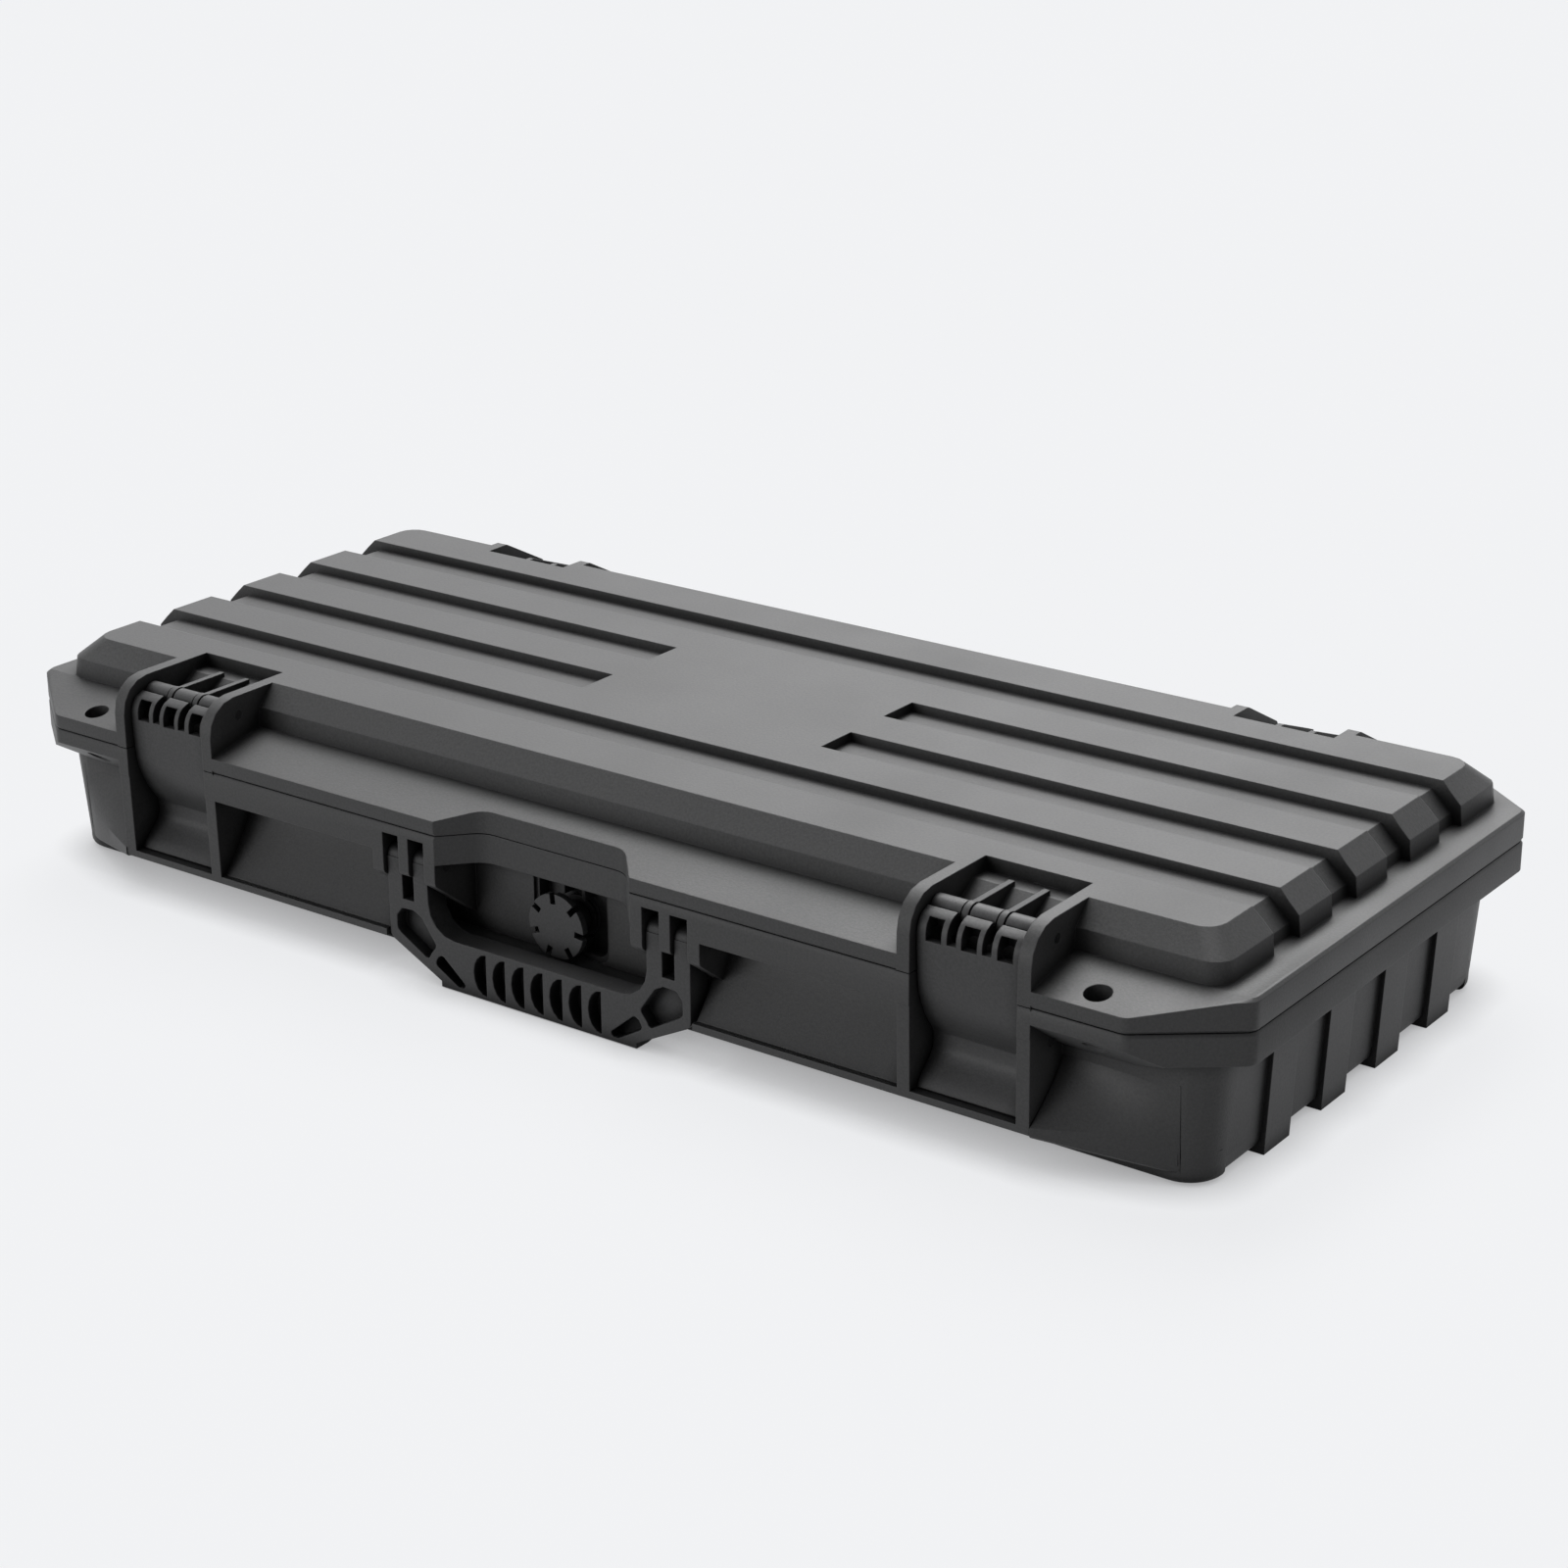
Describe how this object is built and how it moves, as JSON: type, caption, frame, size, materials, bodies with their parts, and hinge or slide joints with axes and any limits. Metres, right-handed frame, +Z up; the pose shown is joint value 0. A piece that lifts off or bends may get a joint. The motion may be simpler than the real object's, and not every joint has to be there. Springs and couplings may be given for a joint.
{
  "type": "hard storage case for watches",
  "caption": "Long flat hard case with a ribbed lid, pinned latches, a folding handle, a pressure valve, rear hinges and die-cut foam pockets for watches.",
  "frame": {"origin": "on the ground under the middle of the case's outer box", "axes": "+X along the case to the right seen from the handle, -Y out of the handle side, +Y to the hinges, +Z up"},
  "size_m": [0.64, 0.3046, 0.1011],
  "materials": {
    "shell": "matte",
    "latch": "matte",
    "handle": "matte",
    "knob": "matte",
    "fittings": "matte",
    "seal": "matte",
    "foam": "matte",
    "pins": "satin"
  },
  "bodies": {
    "base": {"base_shell": "shell", "base_foam_pad": "foam", "base_foam_tray": "foam", "valve_body": "fittings", "valve_seal": "seal", "valve_nut": "fittings", "catch_pin_left": "pins", "hinge_pin_left": "pins", "handle_pin_left": "pins", "catch_pin_right": "pins", "hinge_pin_right": "pins", "handle_pin_right": "pins"},
    "lid": {"lid_shell": "shell", "lid_seal": "seal", "lid_foam": "foam", "latch_pin_left": "pins", "hinge_leaf_left": "latch", "leaf_pin_left": "pins", "latch_pin_right": "pins", "hinge_leaf_right": "latch", "leaf_pin_right": "pins"},
    "latch_left": {"latch_left": "latch"},
    "latch_right": {"latch_right": "latch"},
    "handle": {"handle": "handle"},
    "valve_knob": {"valve_knob": "knob"}
  },
  "joints": [
    {"name": "lid_hinge", "type": "hinge", "parent": "base", "child": "lid", "pos_m": [0, 0.146, 0.0698], "axis": [-1, 0, 0], "range_deg": [0, 100]},
    {"name": "latch_left_pivot", "type": "hinge", "parent": "lid", "child": "latch_left", "pos_m": [-0.2121, -0.1343, 0.0919], "axis": [-1, 0, 0], "range_deg": [0, 95]},
    {"name": "latch_right_pivot", "type": "hinge", "parent": "lid", "child": "latch_right", "pos_m": [0.2121, -0.1343, 0.0919], "axis": [-1, 0, 0], "range_deg": [0, 95]},
    {"name": "handle_pivot", "type": "hinge", "parent": "base", "child": "handle", "pos_m": [0, -0.1447, 0.0543], "axis": [-1, 0, 0], "range_deg": [0, 92]},
    {"name": "valve_knob_turn", "type": "hinge", "parent": "base", "child": "valve_knob", "pos_m": [0, -0.1286, 0.0366], "axis": [0, -1, 0], "range_deg": [0, 270]}
  ]
}
